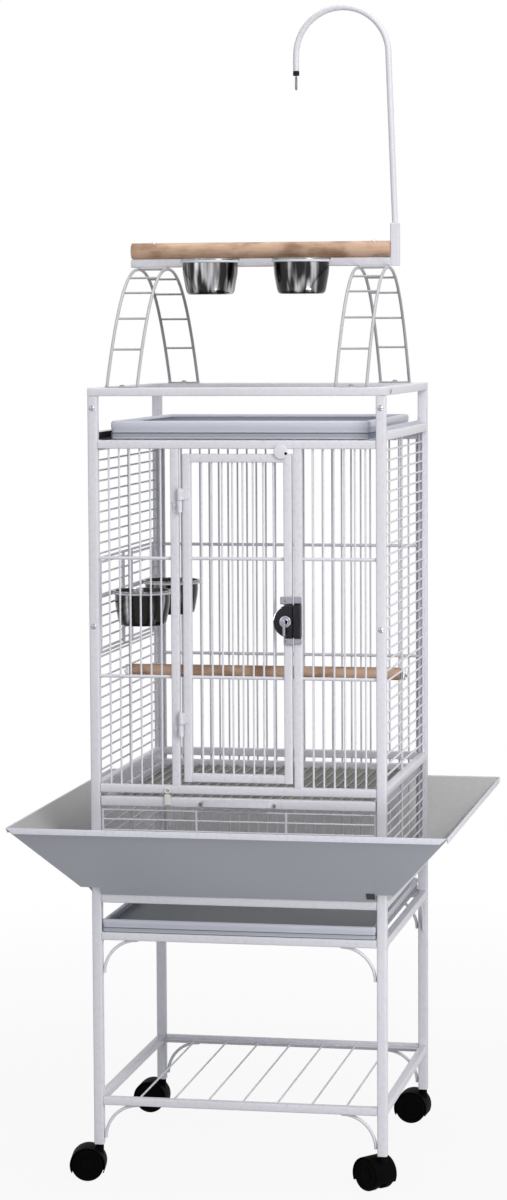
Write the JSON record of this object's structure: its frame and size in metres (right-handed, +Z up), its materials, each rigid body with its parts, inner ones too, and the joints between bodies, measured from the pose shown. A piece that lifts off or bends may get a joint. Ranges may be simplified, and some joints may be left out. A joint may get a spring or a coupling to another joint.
{
  "type": "parrot cage",
  "caption": "Wheeled parrot cage with a barred front door, seed guard, pull-out trays, ladder arches, play perch, cups and a toy hook.",
  "frame": {"origin": "centre of the footprint on the floor", "axes": "+Z up, the main door faces -Y, +X to the right seen from the front"},
  "size_m": [0.67, 0.67, 1.8087],
  "materials": {
    "paint": "smooth pale powder coat",
    "sheet": "powder-coated sheet, satin",
    "guard": "powder-coated sheet, satin",
    "steel": "polished",
    "chrome": "polished",
    "black": "moulded",
    "white": "moulded",
    "wood": "bare turned hardwood"
  },
  "bodies": {
    "frame": {"post_front_left": "paint", "post_front_right": "paint", "post_back_left": "paint", "post_back_right": "paint", "play_top_ring": "paint", "stand_rail_front": "paint", "stand_rail_back": "paint", "stand_rail_left": "paint", "stand_rail_right": "paint", "storage_shelf": "paint", "back_panel": "paint", "right_panel": "paint", "left_panel": "paint", "front_panel": "paint", "front_skirt": "paint", "roof_grille": "paint", "grate_runner_left": "paint", "grate_runner_right": "paint", "cup_ring_left": "paint", "cup_ring_right": "paint", "ladder_arch_left": "paint", "ladder_arch_right": "paint", "play_bar": "paint", "door_hinge_upper": "paint", "door_hinge_lower": "paint", "tray_guide_left": "sheet", "tray_guide_right": "sheet", "seed_guard_front": "guard", "seed_guard_back": "guard", "seed_guard_left": "guard", "seed_guard_right": "guard", "lock_keeper": "black", "inner_perch": "wood", "play_perch": "wood"},
    "door": {"main_door": "paint", "lock_case": "black"},
    "lock_lever": {"lock_lever": "chrome"},
    "lock_bolt": {"lock_bolt": "chrome"},
    "turn_button": {"door_turn_button": "white"},
    "grate_drawer": {"floor_grate": "paint"},
    "grate_latch": {"grate_latch": "white"},
    "dirt_tray": {"dirt_tray": "sheet"},
    "play_tray": {"play_tray": "sheet"},
    "feeder_front": {"feeder_door_front": "paint"},
    "feeder_back": {"feeder_door_back": "paint"},
    "feeder_cup_front": {"feeder_cup_front": "steel"},
    "feeder_cup_back": {"feeder_cup_back": "steel"},
    "play_cup_left": {"play_cup_left": "steel"},
    "play_cup_right": {"play_cup_right": "steel"},
    "toy_hook": {"toy_hook": "paint"},
    "hook_clip": {"hook_clip": "steel"},
    "caster_front_left": {"caster_front_left": "black"},
    "wheels_front_left": {"caster_wheels_front_left": "black"},
    "caster_front_right": {"caster_front_right": "black"},
    "wheels_front_right": {"caster_wheels_front_right": "black"},
    "caster_back_left": {"caster_back_left": "black"},
    "wheels_back_left": {"caster_wheels_back_left": "black"},
    "caster_back_right": {"caster_back_right": "black"},
    "wheels_back_right": {"caster_wheels_back_right": "black"}
  },
  "joints": [
    {"name": "door_swing", "type": "hinge", "parent": "frame", "child": "door", "pos_m": [-0.0852, -0.233, 0.87], "axis": [0, 0, -1], "range_deg": [0, 120]},
    {"name": "lock_turn", "type": "hinge", "parent": "door", "child": "lock_lever", "pos_m": [0.0778, -0.2406, 0.87], "axis": [0, 1, 0], "range_deg": [0, 90]},
    {"name": "bolt_slide", "type": "slide", "parent": "door", "child": "lock_bolt", "axis": [1, 0, 0], "range_m": [0, 0.008]},
    {"name": "button_turn", "type": "hinge", "parent": "door", "child": "turn_button", "pos_m": [0.0695, -0.2288, 1.11465], "axis": [0, 1, 0], "range_deg": [0, 180]},
    {"name": "grate_slide", "type": "slide", "parent": "frame", "child": "grate_drawer", "axis": [0, -1, 0], "range_m": [0, 0.4]},
    {"name": "grate_latch_turn", "type": "hinge", "parent": "grate_drawer", "child": "grate_latch", "pos_m": [-0.108, -0.2288, 0.5905], "axis": [0, 1, 0], "range_deg": [0, 90]},
    {"name": "dirt_tray_slide", "type": "slide", "parent": "frame", "child": "dirt_tray", "axis": [0, -1, 0], "range_m": [0, 0.4]},
    {"name": "play_tray_slide", "type": "slide", "parent": "frame", "child": "play_tray", "axis": [0, -1, 0], "range_m": [0, 0.36]},
    {"name": "feeder_front_swing", "type": "hinge", "parent": "frame", "child": "feeder_front", "pos_m": [-0.22215, -0.1785, 0.886], "axis": [0, 0, 1], "range_deg": [0, 100]},
    {"name": "feeder_cup_front_lift", "type": "slide", "parent": "feeder_front", "child": "feeder_cup_front", "axis": [0, 0, 1], "range_m": [0, 0.06]},
    {"name": "feeder_back_swing", "type": "hinge", "parent": "frame", "child": "feeder_back", "pos_m": [-0.22215, 0.0315, 0.886], "axis": [0, 0, 1], "range_deg": [0, 100]},
    {"name": "feeder_cup_back_lift", "type": "slide", "parent": "feeder_back", "child": "feeder_cup_back", "axis": [0, 0, 1], "range_m": [0, 0.06]},
    {"name": "play_cup_left_lift", "type": "slide", "parent": "frame", "child": "play_cup_left", "axis": [0, 0, 1], "range_m": [0, 0.06]},
    {"name": "play_cup_right_lift", "type": "slide", "parent": "frame", "child": "play_cup_right", "axis": [0, 0, 1], "range_m": [0, 0.06]},
    {"name": "hook_swivel", "type": "hinge", "parent": "frame", "child": "toy_hook", "pos_m": [0.2093, 0, 1.471], "axis": [-0.0384, 0, 0.9993], "continuous": true},
    {"name": "clip_swivel", "type": "hinge", "parent": "toy_hook", "child": "hook_clip", "pos_m": [0.05429, 0, 1.7], "axis": [0, 0, 1], "continuous": true},
    {"name": "caster_front_left_swivel", "type": "hinge", "parent": "frame", "child": "caster_front_left", "pos_m": [-0.221, -0.221, 0.055], "axis": [0, 0, 1], "continuous": true},
    {"name": "wheels_front_left_roll", "type": "hinge", "parent": "caster_front_left", "child": "wheels_front_left", "pos_m": [-0.23878, -0.22382, 0.025], "axis": [-0.1564, 0.9877, 0], "continuous": true},
    {"name": "caster_front_right_swivel", "type": "hinge", "parent": "frame", "child": "caster_front_right", "pos_m": [0.221, -0.221, 0.055], "axis": [0, 0, 1], "continuous": true},
    {"name": "wheels_front_right_roll", "type": "hinge", "parent": "caster_front_right", "child": "wheels_front_right", "pos_m": [0.20682, -0.20992, 0.025], "axis": [0.6157, 0.788, 0], "continuous": true},
    {"name": "caster_back_left_swivel", "type": "hinge", "parent": "frame", "child": "caster_back_left", "pos_m": [-0.221, 0.221, 0.055], "axis": [0, 0, 1], "continuous": true},
    {"name": "wheels_back_left_roll", "type": "hinge", "parent": "caster_back_left", "child": "wheels_back_left", "pos_m": [-0.239, 0.221, 0.025], "axis": [0, 1, 0], "continuous": true},
    {"name": "caster_back_right_swivel", "type": "hinge", "parent": "frame", "child": "caster_back_right", "pos_m": [0.221, 0.221, 0.055], "axis": [0, 0, 1], "continuous": true},
    {"name": "wheels_back_right_roll", "type": "hinge", "parent": "caster_back_right", "child": "wheels_back_right", "pos_m": [0.20304, 0.22226, 0.025], "axis": [0.0698, 0.9976, 0], "continuous": true}
  ],
  "couplings": [
    {"joint": "bolt_slide", "follows": "lock_turn", "m_per_rad": 0.005088}
  ]
}
